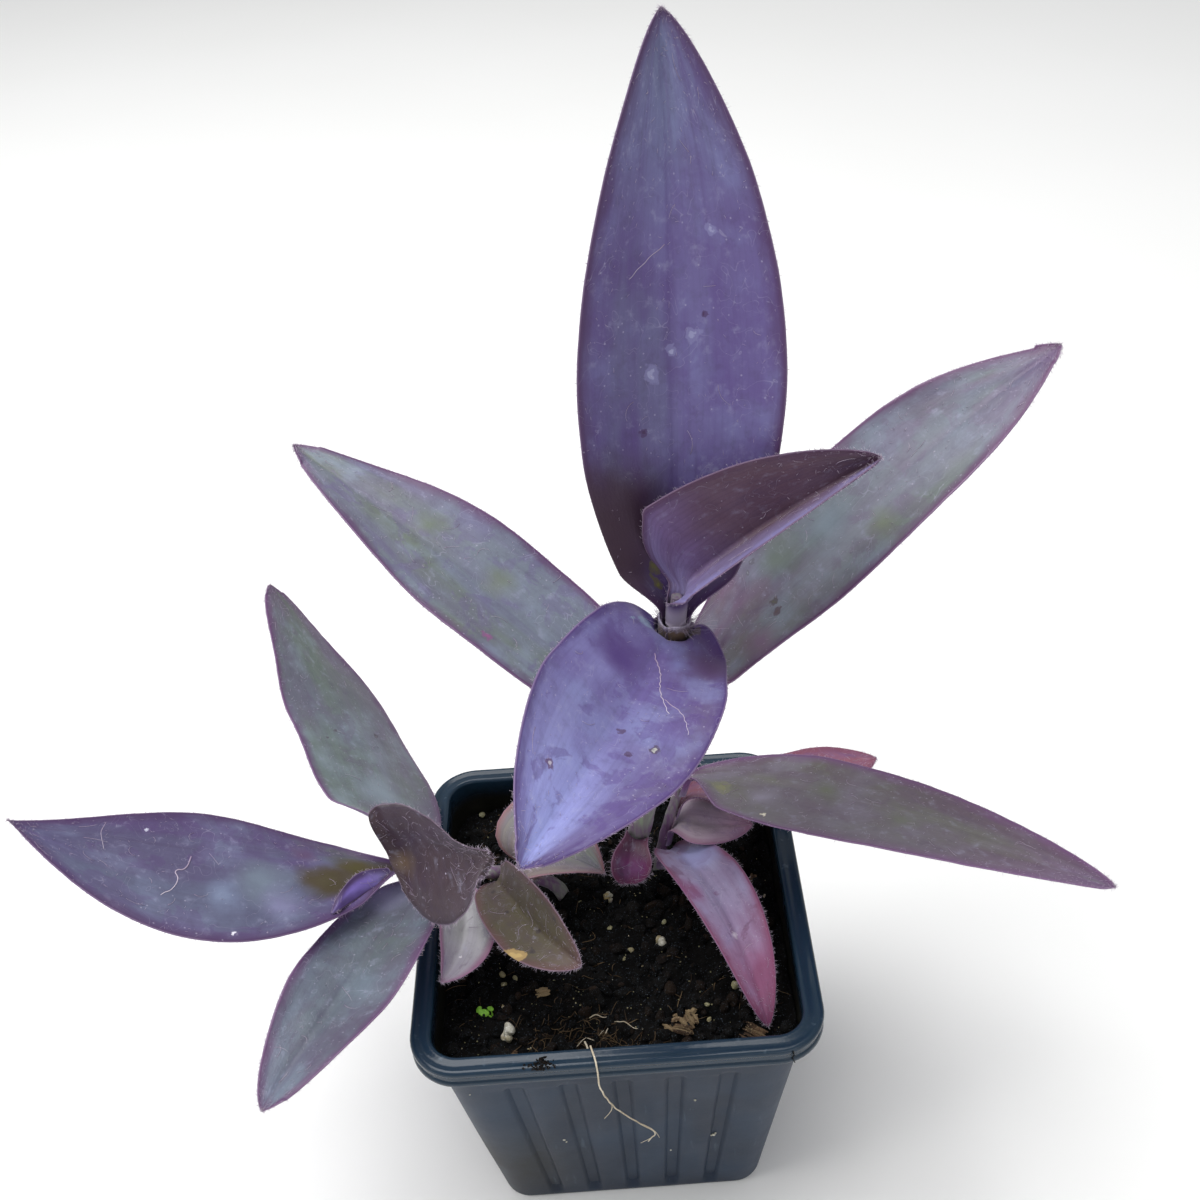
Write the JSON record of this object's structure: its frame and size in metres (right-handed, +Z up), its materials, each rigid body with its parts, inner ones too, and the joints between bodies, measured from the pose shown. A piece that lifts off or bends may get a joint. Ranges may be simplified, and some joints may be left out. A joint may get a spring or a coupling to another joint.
{
  "type": "potted purple heart",
  "caption": "Young purple heart plant with long channelled leaves, rooted in dark soil in a small square ribbed nursery pot.",
  "frame": {"origin": "centre of the pot's base, on the surface that it stands on", "axes": "+Z up; -Y is the pot's front face; +X to the right seen from the front"},
  "size_m": [0.2238, 0.1526, 0.2603],
  "materials": {
    "pot_plastic": "satin moulded plastic, dark slate blue",
    "soil": "loose damp peat and bark potting mix",
    "stem": "soft fleshy stem, pale green to mauve",
    "leaf": "fleshy leaf with a waxy satin bloom",
    "root": "dry pale root thread"
  },
  "bodies": {
    "root": {"pot": "pot_plastic", "soil": "soil", "stem_main": "stem", "stem_left": "stem", "stem_right": "stem", "leaf_main_top": "leaf", "leaf_main_young": "leaf", "leaf_main_front": "leaf", "leaf_main_right": "leaf", "leaf_main_left": "leaf", "leaf_main_bud": "leaf", "leaf_left_low": "leaf", "leaf_left_inner": "leaf", "leaf_left_pale": "leaf", "leaf_left_up": "leaf", "leaf_left_down": "leaf", "leaf_left_long": "leaf", "leaf_left_tip": "leaf", "leaf_right_front": "leaf", "leaf_right_small": "leaf", "leaf_right_back": "leaf", "leaf_right_long": "leaf", "root_thread": "root"}
  },
  "joints": []
}
